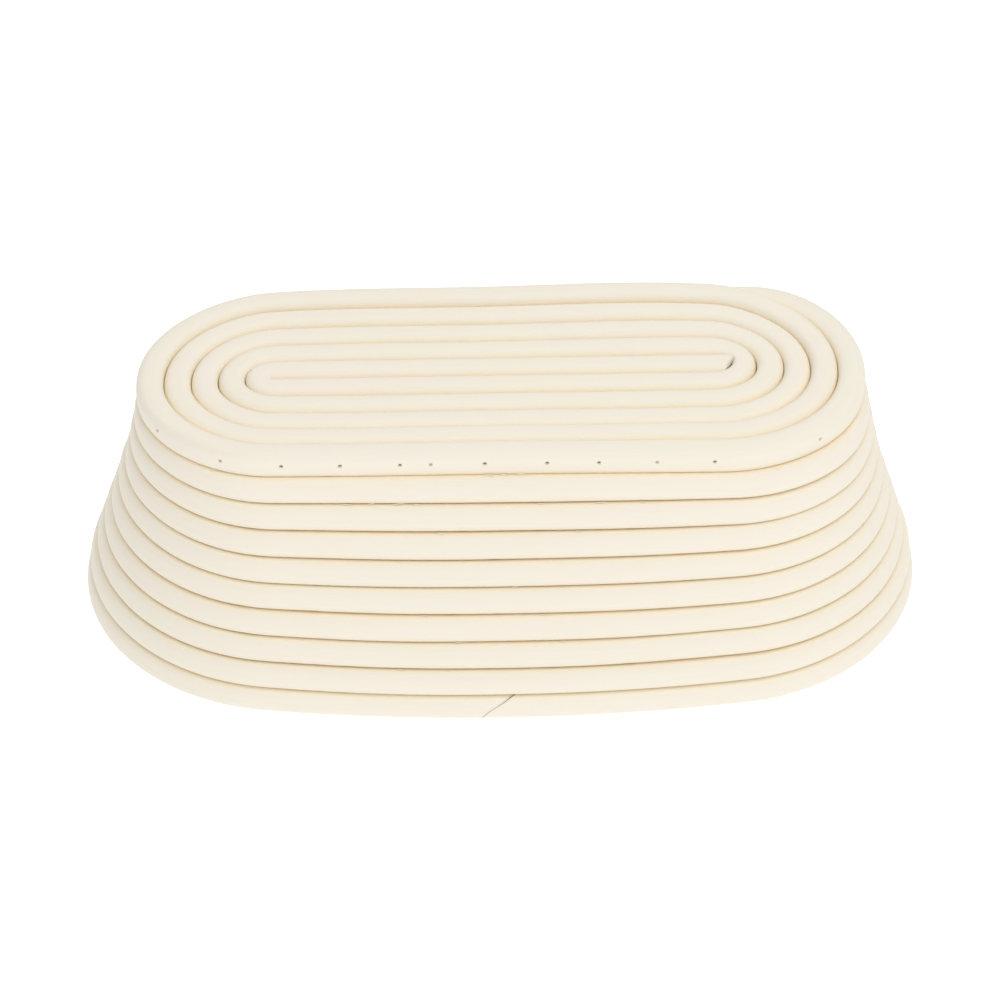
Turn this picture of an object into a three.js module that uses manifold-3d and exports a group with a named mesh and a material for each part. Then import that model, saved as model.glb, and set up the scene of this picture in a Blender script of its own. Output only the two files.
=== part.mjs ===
// Oval proofing basket of coiled rattan cane, standing upside down on its rim with its base on top.
// Millimetres, +Z up, +X along the basket, -Y to the front. The origin lies on the table under the middle.
import * as THREE from 'three';
import { mergeVertices } from 'three/addons/utils/BufferGeometryUtils.js';
import Module from 'manifold-3d';

const wasm = await Module();
wasm.setup();

// Cane: one thickness for the base, the wall and the rim
const caneDiameter = 9;       // across the flats of its section
const seamGap = 0.5;          // clearance between neighbouring turns
const caneSides = 8;

// Base: a spiral wound round two centres, a little hollow in the middle
const baseTurns = 5;
const straightRun = 151;      // from one centre to the other
const baseDish = 1.4;

// Wall: level rows that lean outwards on the way down, in degrees, with sides that bow more towards the rim
const wallRows = 8;
const endLean = 13.5;
const sideLeanTop = 24;
const sideLeanRim = 18;
const sideBow = 5;
const leastBow = 0.001;       // of the straight edge row, so that its long arcs have a centre

// Rim: the lowest row, closed by a slanting cut at the middle of the front and planed flat to stand on
const rimLean = 9;            // degrees
const scarfLength = 12;       // how far the cut runs along the cane
const scarfGap = 0.5;         // width of the cut
const restCut = caneDiameter / 10;

// Where each row drops to the next, and where one length of cane ends and another starts
const dropStartShare = 0.62;   // place on the right end, as a share of its length from the front
const dropEndShare = 0.3;      // place along the back, as a share of its length from the right
const edgeDropEase = 0.3;      // how far the base's edge lags behind the rows in its drop
const edgeSwing = 4.5;         // how far the top rows swing out under the edge while it drops
const swingStartShare = 0.35;  // place on the right end where that starts, to end a quarter further on
const tailShare = 0.3;         // what is left at the thin end of the last row, as a share of the cane
const firstSpliceShare = 0.62; // place along the back
const secondSpliceShare = 0.7;

// Pins: plain steel wire, driven through one turn and into the next
const pinDiameter = 1.2;
const pinClearance = 0.3;     // round the pin and at its point
const edgePinBite = 5;        // depth in the turn that the pin holds on to
const rowPinBite = 3;
const pinRecess = 0.4;        // how far the head lies below the surface
const edgePinRise = 0.9;      // above the middle of the cane
const pinSides = 6;

// Where the pins stand, as shares of each quarter of a round
const edgePinShares = {
  'back': [0.06, 0.2, 0.34, 0.48, 0.62, 0.76, 0.9],
  'left end': [0.05, 0.22, 0.38, 0.54, 0.694, 0.881],
  'front': [0.022, 0.152, 0.285, 0.353, 0.473, 0.611, 0.726, 0.855, 0.983],
  'right end': [0.215, 0.42],
};
const wallPinPlaces = [0.22, 0.78];              // along the front, taken in turn
const wallBackPinPlaces = [0.42, 0.86];
const rimPinPlaces = [0.12, 0.42, 0.58, 0.88];   // along the front, two of them beside the cut
const rimBackPinPlaces = [0.4, 0.84];

// How finely the curves are drawn
const endSteps = 14;          // steps in each half turn
const noseSteps = 3;          // steps in the rounded start of the spiral
const sideSteps = 10;         // steps along each side of a row

// Sizes that follow from these
const degree = Math.PI / 180;
const caneRadius = caneDiameter / 2;
const pitch = caneDiameter + seamGap;
const cornerRadius = caneRadius / Math.cos(Math.PI / caneSides);
const rimRow = wallRows + 1;
const leastLean = Math.min(endLean, sideLeanTop, sideLeanRim) * degree;
const rowDrop = pitch * Math.cos(leastLean);
// The base's section isn't turned as the wall's is, so a corner of it faces row 1.
const firstRowExtra = cornerRadius - caneRadius;
const endStep = rowDrop * Math.tan(endLean * degree);
const rimReach = pitch / Math.cos((endLean - rimLean) * degree);
const rimDrop = rimReach * Math.cos(rimLean * degree);
const rimStep = rimReach * Math.sin(rimLean * degree);
const rimHeight = caneRadius - restCut;
const baseHeight = rimHeight + rimDrop + wallRows * rowDrop + firstRowExtra;
const spiralLeft = -straightRun / 2 - pitch / 4;
const spiralRight = straightRun / 2 - pitch / 4;

const clamp = (value) => Math.min(Math.max(value, 0), 1);
const smooth = (value) => THREE.MathUtils.smoothstep(value, 0, 1);
const outwardOf = (heading) => [Math.sin(heading), -Math.cos(heading)];

// Rows of the wall

// Drop of a row below the base's edge. Row 0 is the edge itself, and the last row is the rim.
function dropOf(row) {
  const first = firstRowExtra * clamp(row);
  const rim = clamp(row - wallRows);
  return first + rowDrop * Math.min(row, wallRows) + rimDrop * rim;
}

// Oval of a row, drawn with four arcs: its half length, half width, end radius, and the radius and centre
// of the long arcs that make the bowed sides.
function ovalOf(row) {
  const leaning = Math.min(row, wallRows);
  const rimPart = rimStep * clamp(row - wallRows);
  const top = Math.tan(sideLeanTop * degree);
  const fall = top - Math.tan(sideLeanRim * degree);
  const sideOut = rowDrop * (top * leaning - fall * leaning * leaning / (2 * wallRows));
  const halfLength = straightRun / 2 + (baseTurns - 0.25) * pitch + endStep * leaning + rimPart;
  const halfWidth = (baseTurns - 0.5) * pitch + sideOut + rimPart;
  const bow = Math.max(leastBow, sideBow * (1 - (1 - row / rimRow) ** 2));
  const endRadius = halfWidth - bow;
  const endCentre = halfLength - endRadius;
  const sideCentre = (endCentre * endCentre - bow * bow) / (2 * bow);
  const sideRadius = halfWidth + sideCentre;
  const joinHeading = Math.atan2(endCentre, sideCentre);
  return { endRadius, endCentre, sideCentre, sideRadius, joinHeading };
}

// A round has four quarters: the front from left to right, the right end, the back from right to left and the
// left end. A place counts quarters, so that 2.5 is the middle of the back.
const quarters = ['front', 'right end', 'back', 'left end'];
const rightEnd = quarters.indexOf('right end');
const backStart = quarters.indexOf('back');

// Point of a row at a place, moved outwards by some distance.
function rowPoint(row, place, out = 0) {
  const oval = ovalOf(row);
  const quarter = Math.floor(place) % quarters.length;
  const share = place - Math.floor(place);
  const turned = quarter < backStart ? 0 : Math.PI;
  const side = turned === 0 ? 1 : -1;
  let heading = turned + oval.joinHeading * (2 * share - 1);
  let centre = [0, side * oval.sideCentre];
  let radius = oval.sideRadius;
  if (quarter % 2 === 1) {
    heading = turned + oval.joinHeading + (Math.PI - 2 * oval.joinHeading) * share;
    centre = [side * oval.endCentre, 0];
    radius = oval.endRadius;
  }
  const outward = outwardOf(heading);
  const reach = radius + out;
  return new THREE.Vector3(
    centre[0] + reach * outward[0], centre[1] + reach * outward[1], baseHeight - dropOf(row));
}

// Point of a row of the wall. At the back right the base's edge runs wider than the oval before it drops, and
// the rows under it swing out with it, less and less towards the rim.
function wallPoint(row, place) {
  const along = THREE.MathUtils.euclideanModulo(place - rightEnd - swingStartShare, quarters.length);
  const wave = Math.sin(Math.PI * clamp(along));
  return rowPoint(row, place, edgeSwing * (1 - row / rimRow) * wave * wave);
}

// A round ends with the drop to the next row. How far a row has dropped at a place, from 0 to 1.
const roundStart = backStart + dropEndShare;
const dropLength = roundStart - rightEnd - dropStartShare;

function dropShare(place) {
  const toGo = quarters.length - THREE.MathUtils.euclideanModulo(place - roundStart, quarters.length);
  return smooth(1 - toGo / dropLength);
}

// Stations along a cane: a point, the turn of its section round the cane in radians, and the shares of its
// full height and width.
const station = (point, lean = endLean * degree, height = 1, width = 1) => ({ point, lean, height, width });

// Places between two places on the rows, finer on the ends than along the sides. Places count on from round
// to round.
function placesBetween(from, to) {
  const places = [from];
  for (let quarter = Math.floor(from); quarter < to; quarter += 1) {
    const steps = quarter % 2 === 1 ? endSteps : sideSteps;
    for (let step = 0; step <= steps; step += 1) {
      const place = quarter + step / steps;
      const clear = 0.5 / steps;
      if (place > places[places.length - 1] + clear && place < to - clear) {
        places.push(place);
      }
    }
  }
  places.push(to);
  return places;
}

const roundOf = (place) => Math.floor((place - roundStart) / quarters.length) + 1;

function wallStations(from, to) {
  return placesBetween(from, to).map((place) => {
    const row = roundOf(place) + dropShare(place);
    return station(wallPoint(row, place));
  });
}

// The last row thins out under the row that drops on to it, and fills the wedge above the rim.
function tailStations(from) {
  const thinning = placesBetween(from, from + dropLength).filter(
    (place) => dropShare(place) > 0 && dropShare(place) < 1 - tailShare);
  return thinning.map((place) => station(
    wallPoint(wallRows + dropShare(place) / 2, place), endLean * degree, 1 - dropShare(place)));
}

// The base's spiral

// Height of the spiral after a number of turns: hollow in the middle, level in the last turn.
function spiralHeight(turns) {
  const inner = Math.min(turns / (baseTurns - 1), 1);
  return baseHeight - baseDish * (1 - inner * inner);
}

function arcPoint(centreX, centreY, radius, heading, height) {
  const outward = outwardOf(heading);
  return new THREE.Vector3(centreX + radius * outward[0], centreY + radius * outward[1], height);
}

// The outermost turn drops to row 1 at the back right. It rolls round the turn inside it, from beside that
// turn to below it, and keeps clear of it all the way.
function edgeStation(point, inside, place) {
  const dropped = dropShare(place);
  const share = dropped * (1 - edgeDropEase * (1 - dropped));
  const beside = point.clone().sub(inside);
  const below = rowPoint(1, place).sub(inside);
  const distance = THREE.MathUtils.lerp(beside.length(), below.length(), share);
  const towards = beside.normalize().lerp(below.normalize(), share).normalize();
  return station(inside.clone().addScaledVector(towards, distance), endLean * degree * share);
}

// Each turn runs left along the back, round the left end, right along the front and round the right end.
// The right end's centre lies half a pitch further back, so that each turn comes out one pitch wider.
// It starts with a rounded nose inside the first right end.
function spiralStations() {
  const list = [];
  for (let step = 1; step <= noseSteps; step += 1) {
    const angle = Math.PI / 2 * step / noseSteps;
    const nose = new THREE.Vector3(spiralRight + caneRadius * Math.cos(angle), pitch / 2, spiralHeight(0));
    list.push(station(nose, 0, 1, Math.sin(angle)));
  }
  for (let turn = 0; turn < baseTurns; turn += 1) {
    for (let step = 0; step <= endSteps; step += 1) {
      const heading = Math.PI + Math.PI * step / endSteps;
      const height = spiralHeight(turn + 0.25 + 0.25 * step / endSteps);
      list.push(station(arcPoint(spiralLeft, 0, (turn + 0.5) * pitch, heading, height), 0));
    }
    for (let step = 0; step <= endSteps; step += 1) {
      const heading = Math.PI * step / endSteps;
      const height = spiralHeight(turn + 0.75 + 0.25 * step / endSteps);
      const point = arcPoint(spiralRight, pitch / 2, (turn + 1) * pitch, heading, height);
      if (turn < baseTurns - 1) {
        list.push(station(point, 0));
      } else {
        const inside = arcPoint(spiralRight, pitch / 2, turn * pitch, heading, baseHeight);
        list.push(edgeStation(point, inside, rightEnd + heading / Math.PI));
      }
    }
  }
  for (let step = 1; step <= dropEndShare * sideSteps; step += 1) {
    const x = spiralRight - straightRun * step / sideSteps;
    const point = new THREE.Vector3(x, (baseTurns + 0.5) * pitch, baseHeight);
    const inside = new THREE.Vector3(x, (baseTurns - 0.5) * pitch, baseHeight);
    list.push(edgeStation(point, inside, backStart + step / sideSteps));
  }
  return list;
}

// Solids

// Corners of a section of cane at one station, square to the run of the cane. Slant moves a corner along the
// cane as it lies higher, for a slanting cut.
function sectionCorners(stations, index, slant) {
  const here = stations[index];
  const before = stations[Math.max(index - 1, 0)].point;
  const after = stations[Math.min(index + 1, stations.length - 1)].point;
  const along = new THREE.Vector3().subVectors(after, before).normalize();
  const level = new THREE.Vector3().crossVectors(along, new THREE.Vector3(0, 0, 1)).normalize();
  const upright = new THREE.Vector3().crossVectors(level, along);
  const outward = level.clone().applyAxisAngle(along, -here.lean);
  const up = upright.clone().applyAxisAngle(along, -here.lean);
  const corners = [];
  for (let side = 0; side < caneSides; side += 1) {
    const angle = 2 * Math.PI * (side + 0.5) / caneSides;
    const high = cornerRadius * here.height * Math.sin(angle);
    const corner = here.point.clone();
    corner.addScaledVector(outward, cornerRadius * here.width * Math.cos(angle));
    corner.addScaledVector(up, high);
    corner.addScaledVector(along, slant * high);
    corners.push(corner);
  }
  return corners;
}

// Tube with flat ends through all the sections of a cane.
function caneGeometry(stations, slant = 0) {
  const last = stations.length - 1;
  const slantAt = (index) => (index % last === 0 ? slant : 0);
  const sections = stations.map((_, index) => sectionCorners(stations, index, slantAt(index)));
  const corners = sections.flat();
  const triangles = [];
  for (let index = 0; index < last; index += 1) {
    for (let side = 0; side < caneSides; side += 1) {
      const next = (side + 1) % caneSides;
      const a = index * caneSides + side;
      const b = index * caneSides + next;
      triangles.push(a, a + caneSides, b, b, a + caneSides, b + caneSides);
    }
  }
  const end = last * caneSides;
  for (let side = 1; side < caneSides - 1; side += 1) {
    triangles.push(0, side, side + 1);
    triangles.push(end, end + side + 1, end + side);
  }
  const geometry = new THREE.BufferGeometry().setFromPoints(corners);
  geometry.setIndex(triangles);
  return geometry;
}

// Least gap of a cane to itself, measured between points round its sections and half way between them.
function leastGap(stations) {
  const points = [];
  let run = 0;
  let earlier = null;
  stations.forEach((here, index) => {
    const corners = sectionCorners(stations, index, 0);
    if (earlier) {
      const step = here.point.distanceTo(stations[index - 1].point);
      corners.forEach((corner, side) => {
        points.push({ at: corner.clone().lerp(earlier[side], 0.5), run: run + step / 2 });
      });
      run += step;
    }
    corners.forEach((corner, side) => {
      points.push({ at: corner, run });
      points.push({ at: corner.clone().lerp(corners[(side + 1) % caneSides], 0.5), run });
    });
    earlier = corners;
  });
  let least = Infinity;
  for (let i = 0; i < points.length; i += 1) {
    for (let j = i + 1; j < points.length; j += 1) {
      if (points[j].run - points[i].run > 4 * caneDiameter) {
        least = Math.min(least, points[i].at.distanceToSquared(points[j].at));
      }
    }
  }
  return Math.sqrt(least);
}

function solidOf(geometry) {
  const bare = geometry.clone();
  bare.deleteAttribute('normal');
  bare.deleteAttribute('uv');
  const merged = mergeVertices(bare);
  return new wasm.Manifold(new wasm.Mesh({
    numProp: 3,
    vertProperties: new Float32Array(merged.attributes.position.array),
    triVerts: new Uint32Array(merged.index.array),
  }));
}

function geometryOf(solid) {
  const mesh = solid.getMesh();
  const geometry = new THREE.BufferGeometry();
  geometry.setAttribute('position', new THREE.BufferAttribute(new Float32Array(mesh.vertProperties), 3));
  geometry.setIndex(Array.from(mesh.triVerts));
  return geometry;
}

// Round bar from one point to another.
function barGeometry(from, to, diameter) {
  const run = new THREE.Vector3().subVectors(to, from);
  const bar = new THREE.CylinderGeometry(diameter / 2, diameter / 2, run.length(), pinSides);
  const turn = new THREE.Quaternion().setFromUnitVectors(new THREE.Vector3(0, 1, 0), run.clone().normalize());
  bar.applyQuaternion(turn);
  bar.translate(...new THREE.Vector3().addVectors(from, to).multiplyScalar(0.5));
  return bar;
}

// Canes

const firstSplice = backStart + firstSpliceShare;
const secondSpliceRound = Math.ceil(wallRows / 2);
const secondSplice = backStart + secondSpliceShare + quarters.length * secondSpliceRound;
const lastDrop = rightEnd + dropStartShare + quarters.length * wallRows;
const spliceGapShare = seamGap / straightRun;

const canes = {
  base_cane: spiralStations().concat(wallStations(roundStart, firstSplice).slice(1)),
  upper_wall_cane: wallStations(firstSplice + spliceGapShare, secondSplice),
  lower_wall_cane: wallStations(secondSplice + spliceGapShare, lastDrop).concat(tailStations(lastDrop)),
};

// The rim starts and ends at the slanting cut, which leans to the left on its way down.
const slant = scarfLength / caneDiameter;
const rimLength = 2 * ovalOf(rimRow).sideRadius * ovalOf(rimRow).joinHeading;
const cutShare = scarfGap * Math.hypot(1, slant) / rimLength / 2;
const runShare = (scarfLength / 2 + caneDiameter) / rimLength;
const rimPlaces = placesBetween(0.5 + runShare, quarters.length + 0.5 - runShare);
const rimStations = [0.5 + cutShare, ...rimPlaces, quarters.length + 0.5 - cutShare].map(
  (place) => station(rowPoint(rimRow, place)));

// Pins

// Pins through the outermost turn of the base into the turn beside it.
function edgePin([quarter, share], index) {
  const leftRadius = (baseTurns - 0.5) * pitch;
  const rightRadius = baseTurns * pitch;
  const height = baseHeight + edgePinRise;
  const ends = quarter === 'left end' || quarter === 'right end';
  const heading = Math.PI * ((quarter === 'back' || quarter === 'left end' ? 1 : 0) + (ends ? share : 0));
  const spots = {
    'front': () => new THREE.Vector3(spiralLeft + straightRun * share, -leftRadius, height),
    'right end': () => arcPoint(spiralRight, pitch / 2, rightRadius, heading, height),
    'back': () => new THREE.Vector3(spiralRight - straightRun * share, leftRadius, height),
    'left end': () => arcPoint(spiralLeft, 0, leftRadius, heading, height),
  };
  const inward = new THREE.Vector3(...outwardOf(heading), 0).negate();
  const depth = pitch - caneRadius + edgePinBite;
  return { name: `edge_pin_${index + 1}`, at: spots[quarter](), inward, depth, head: caneRadius - pinRecess };
}

// Pin up through a row into the row above it.
function risingPin(name, row, place) {
  const at = rowPoint(row, place);
  const inward = rowPoint(row - 1, place).sub(at);
  const depth = inward.length() - caneRadius + rowPinBite;
  const below = row === rimRow ? rimHeight : caneRadius;
  return { name, at, inward: inward.normalize(), depth, head: below - pinRecess };
}

function wallPins() {
  const pins = [];
  for (let row = 1; row <= wallRows; row += 1) {
    const front = wallPinPlaces[row % wallPinPlaces.length];
    const back = wallBackPinPlaces[(row + 1) % wallBackPinPlaces.length];
    pins.push(risingPin(`wall_pin_${row}_front`, row, front));
    pins.push(risingPin(`wall_pin_${row}_back`, row, backStart + back));
  }
  return pins;
}

function rimPins() {
  const places = rimPinPlaces.concat(rimBackPinPlaces.map((place) => backStart + place));
  return places.map((place, index) => risingPin(`rim_pin_${index + 1}`, rimRow, place));
}

// The pin and the hole for it, along the same line. The hole starts well outside the cane.
function pinSolids(pin) {
  const along = (distance) => pin.at.clone().addScaledVector(pin.inward, distance);
  const holeDiameter = pinDiameter + 2 * pinClearance;
  return {
    name: pin.name,
    body: barGeometry(along(-pin.head), along(pin.depth), pinDiameter),
    hole: solidOf(barGeometry(along(-cornerRadius), along(pin.depth + pinClearance), holeDiameter)),
  };
}

// Assembly

const caneFinish = () => new THREE.MeshStandardMaterial(
  { color: 0xf0e4cb, roughness: 0.62, metalness: 0, flatShading: true });
const pinFinish = () => new THREE.MeshStandardMaterial(
  { color: 0x8f8578, roughness: 0.45, metalness: 0.9, flatShading: true });

const basket = new THREE.Group();

function addPiece(name, geometry, finish) {
  const mesh = new THREE.Mesh(geometry, finish());
  mesh.name = name;
  basket.add(mesh);
}

const edgeSpots = Object.entries(edgePinShares).flatMap(
  ([quarter, shares]) => shares.map((share) => [quarter, share]));
const edgeSet = edgeSpots.map(edgePin).map(pinSolids);
const wallSet = wallPins().map(pinSolids);
const rimSet = rimPins().map(pinSolids);

function bored(solid, pins) {
  return pins.reduce((left, pin) => left.subtract(pin.hole), solid);
}

for (const [name, stations] of Object.entries(canes)) {
  const pins = name === 'base_cane' ? [...edgeSet, ...wallSet] : [...wallSet, ...rimSet];
  addPiece(name, geometryOf(bored(solidOf(caneGeometry(stations)), pins)), caneFinish);
  console.log(`${name}: least gap to itself ${leastGap(stations).toFixed(2)} mm`);
}

const table = new THREE.BoxGeometry(2 * straightRun + 40 * pitch, 40 * pitch, 2 * caneDiameter);
table.translate(0, 0, -caneDiameter);
const rimBody = solidOf(caneGeometry(rimStations, slant)).subtract(solidOf(table));
addPiece('rim_cane', geometryOf(bored(rimBody, rimSet)), caneFinish);
console.log(`rim_cane: least gap to itself ${scarfGap.toFixed(2)} mm, across its slanting cut`);

[...edgeSet, ...wallSet, ...rimSet].forEach((pin) => addPiece(pin.name, pin.body, pinFinish));

export default basket;
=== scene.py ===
# %% [markdown]
# A proofing basket of coiled cane.
# The basket is wound from pale peeled rattan cane and stands upside down on its rim. Its solids are packed
# already, with eight-sided canes that keep half a millimetre apart. This lesson dresses them: rounded canes that
# touch, their cut ends, the pins in their holes and the loose fibres, each with a finish worked out by nodes.
# Everything is in metres and in the frame of the solids, so nothing has to be fitted afterwards.

# %% Load the frame
import math

import bpy
import numpy as np
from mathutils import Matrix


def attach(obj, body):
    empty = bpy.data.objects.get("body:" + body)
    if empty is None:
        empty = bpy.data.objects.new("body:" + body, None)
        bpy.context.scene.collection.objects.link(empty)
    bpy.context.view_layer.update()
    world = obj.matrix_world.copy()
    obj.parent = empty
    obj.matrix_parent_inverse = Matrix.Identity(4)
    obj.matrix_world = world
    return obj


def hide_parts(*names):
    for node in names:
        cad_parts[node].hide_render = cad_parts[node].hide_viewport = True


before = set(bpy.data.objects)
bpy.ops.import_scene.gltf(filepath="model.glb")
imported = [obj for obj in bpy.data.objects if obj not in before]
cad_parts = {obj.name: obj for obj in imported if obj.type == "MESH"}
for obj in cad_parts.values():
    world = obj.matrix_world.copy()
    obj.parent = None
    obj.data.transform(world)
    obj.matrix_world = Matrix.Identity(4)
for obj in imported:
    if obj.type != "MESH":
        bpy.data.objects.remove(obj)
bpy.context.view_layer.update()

# %% [markdown]
# The camera comes first, because every look at the basket goes through it.
# The photograph was taken from a good distance with a long lens, 40 degrees above the table. A long lens keeps
# the back of the base almost as wide as the front. The target is a point inside the basket, and the camera
# stands on a line from it that is given by a turn round the basket and a height angle.

# %% Camera
mm = 0.001
view_turn = math.radians(-1.46)
view_height = math.radians(39.92)
view_distance = 1900 * mm
view_target = np.array([0.01, 6.8, 27.03]) * mm
focal_pixels = 5438.4
frame_pixels = 1000
sensor_width = 36.0


def add_object(name, data):
    """A new object in the scene."""
    made = bpy.data.objects.new(name, data)
    bpy.context.scene.collection.objects.link(made)
    return made


camera = add_object("camera", bpy.data.cameras.new("camera"))
towards_camera = np.array([
    math.sin(view_turn) * math.cos(view_height),
    -math.cos(view_turn) * math.cos(view_height),
    math.sin(view_height)])
camera.location = view_target + view_distance * towards_camera
camera.rotation_euler = (math.pi / 2 - view_height, 0.0, view_turn)
camera.data.sensor_width = sensor_width
camera.data.lens = focal_pixels * sensor_width / frame_pixels
camera.data.clip_end = 20.0
bpy.context.scene.camera = camera
print("camera at", [round(value, 3) for value in camera.location], "lens", round(camera.data.lens, 1))

# %% [markdown]
# All canes follow routes that the solids have as well, so the same few sizes are written here.
# A row of the wall is a level oval of four arcs, and each row lies a little lower and further out than the one
# above it. Rows are counted from the edge of the base, row 0, to the rim, row 9. A fraction of a row is a cane
# on its way down to the next one. A place counts quarters of a round: the front from left to right, the right
# end, the back from right to left and the left end.
# The basket was wound by hand, so its turns leave the true ovals by a few millimetres. Two short tables, one for an
# inner turn and one for the outermost, say by how much at each place. The rows take less of it towards the rim.

# %% Sizes of the rows
pitch = 9.5 * mm  # from one turn to the next
cane_radius = pitch / 2
solid_radius = 4.5 * mm  # of the solids' canes, across the flats
straight_run = 151 * mm
base_turns = 5
base_dish = 2.2 * mm
wall_rows = 8
rim_row = wall_rows + 1
end_lean = math.radians(13.5)
side_lean_top = math.radians(24)
side_lean_rim = math.radians(18)
rim_lean = math.radians(9)
side_bow = 5 * mm
least_bow = 0.001 * mm  # of row 0, whose sides are straight
end_hollow = 2.1 * mm  # the ends are a little hollow between base and rim
hollow_power = 0.75  # below 1: hollowest nearer to the base
drop_start = 1.5  # place on the right end where a row starts to drop
round_start = 2.3  # place along the back where it has reached the next row
drop_length = round_start - drop_start
edge_drop_start = 1.45
edge_lag = 0.3  # how far the base's edge lags behind the rows in its drop
edge_swing = 4.5 * mm
swing_start = 1.35
row_drop = pitch * math.cos(end_lean)
first_row_extra = solid_radius * (1 / math.cos(math.pi / 8) - 1)
rim_reach = pitch / math.cos(end_lean - rim_lean)
rim_height = 0.8 * solid_radius
base_height = rim_height + rim_reach * math.cos(rim_lean) + wall_rows * row_drop + first_row_extra
spiral_left = -straight_run / 2 - pitch / 4
spiral_right = straight_run / 2 - pitch / 4
print("base height", round(base_height / mm, 2), "mm")


# %% Points of a row
def smooth(share):
    """Goes from 0 to 1 with a level start and end: three times the square less twice the cube."""
    share = np.clip(share, 0, 1)
    return share * share * (3 - 2 * share)


sway_places = [
    0.0, 0.2, 0.5, 0.8, 1.0, 1.15, 1.3, 1.4, 1.5, 1.6, 1.7, 1.8, 1.9,
    2.0, 2.1, 2.25, 2.5, 2.8, 2.95, 3.1, 3.2, 3.3, 3.45, 3.6, 3.8, 4.0]
sway_inner = [
    -0.3, 0.4, 0.1, 0.3, 0.0, -0.3, 0.4, 0.6, 0.7, 0.5, 0.0, -0.5, -0.4,
    0.2, 0.7, 0.5, -0.3, -0.1, -0.5, -1.3, -1.3, -1.0, -0.5, -0.4, -0.9, -0.3]
sway_outer = [
    -0.4, 0.0, -0.2, 0.5, 1.0, 1.5, 1.8, 0.6, -1.2, -2.8, -4.0, -4.1, -3.0,
    -1.3, 0.1, 0.4, -0.9, -1.0, -1.7, -4.1, -4.7, -4.1, -2.0, -0.4, -0.7, -0.4]
sway_fine = np.arange(-100, 501) / 100
sway_blur = np.exp(-(np.arange(-20, 21) / 6.0) ** 2)
sway_blur /= sway_blur.sum()
sway_inner, sway_outer = (
    np.convolve(np.interp(sway_fine % 4, sway_places, sways), sway_blur, "same") * mm
    for sways in (sway_inner, sway_outer))
sway_inner_radius = 14 * mm
sway_outer_radius = 47 * mm
sway_most = 1.15


def sway_at(place, radius):
    """How far a turn lies outside its true oval at a place: a blurred table for an inner turn and one for the
    outermost, and between them by the share of the radius. The first bend stays true."""
    place = np.asarray(place) % 4
    inner, outer = (np.interp(place, sway_fine, sways) for sways in (sway_inner, sway_outer))
    share = np.clip((radius - sway_inner_radius) / (sway_outer_radius - sway_inner_radius), 0, sway_most)
    return (inner + (outer - inner) * share) * np.clip(radius / pitch - 0.5, 0, 1)


def drop_of(row):
    """Depth of a row below the base's edge: the sum of its full drops and of its share of the rim's drop."""
    down = first_row_extra * np.clip(row, 0, 1) + row_drop * np.minimum(row, wall_rows)
    return down + rim_reach * math.cos(rim_lean) * np.clip(row - wall_rows, 0, 1)


def oval_of(row):
    """Four arcs of a row. The end arcs have the radius of the half width less the bow. The side arcs pass
    through the ends of these and through the middle of the side, which gives their radius and centre."""
    leaning = np.minimum(row, wall_rows)
    rim_part = rim_reach * math.sin(rim_lean) * np.clip(row - wall_rows, 0, 1)
    top = math.tan(side_lean_top)
    fall = top - math.tan(side_lean_rim)
    side_out = row_drop * (top * leaning - fall * leaning ** 2 / (2 * wall_rows))
    half_length = straight_run / 2 + (base_turns - 0.25) * pitch
    half_length = half_length + row_drop * math.tan(end_lean) * leaning + rim_part
    half_length = half_length - end_hollow * np.sin(math.pi * (np.maximum(leaning, 0) / wall_rows) ** hollow_power)
    half_width = (base_turns - 0.5) * pitch + side_out + rim_part
    bow = np.maximum(least_bow, side_bow * (1 - (1 - row / rim_row) ** 2))
    end_radius = half_width - bow
    end_centre = half_length - end_radius
    side_centre = (end_centre ** 2 - bow ** 2) / (2 * bow)
    return end_radius, end_centre, half_width + side_centre, side_centre, np.arctan2(end_centre, side_centre)


def row_point(row, place, out=0.0):
    """Point of a row at a place: the centre of the quarter's arc, plus its radius times the sine and minus the
    cosine of the heading, at the row's depth. The row's drift moves it out and up. Sway and out widen the radius."""
    row, place = np.broadcast_arrays(np.asarray(row, float), np.asarray(place, float))
    end_radius, end_centre, side_radius, side_centre, join = oval_of(row)
    quarter = np.floor(place).astype(int) % 4
    share = place - np.floor(place)
    side = np.where(quarter < 2, 1.0, -1.0)
    on_end = quarter % 2 == 1
    heading = np.where(on_end, join + (math.pi - 2 * join) * share, join * (2 * share - 1))
    heading = heading + np.where(quarter < 2, 0.0, math.pi)
    sway = sway_at(place, sway_outer_radius) * np.clip(1 - row / rim_row, 0, 1)
    radius = np.where(on_end, end_radius, side_radius) + row_drift(row, place, 0) + sway + out
    x = np.where(on_end, side * end_centre, 0.0) + radius * np.sin(heading)
    y = np.where(on_end, 0.0, side * side_centre) - radius * np.cos(heading)
    return np.stack([x, y, base_height - drop_of(row) + row_drift(row, place, 1)], -1)


def wall_point(row, place):
    """Point of a row of the wall. At the back right the base's edge runs wider than the oval before it drops,
    and the rows swing out under it by the square of a sine, less and less towards the rim."""
    wave = np.sin(math.pi * np.clip((np.asarray(place) - swing_start) % 4, 0, 1))
    return row_point(row, place, edge_swing * (1 - np.asarray(row) / rim_row) * wave ** 2)


def drop_share(place):
    """How far a row has dropped to the next at a place, smoothly up to the end of its round."""
    to_go = 4 - (np.asarray(place) - round_start) % 4
    return smooth(1 - to_go / drop_length)


# %% [markdown]
# No row of a hand-wound basket is quite true, and no seam is equally tight all along.
# Tables of random numbers, drawn once from a fixed seed, give each row a slow drift of a tenth of a millimetre
# and each seam its width: mostly closed, with short open stretches that show as dark dashes.

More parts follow.
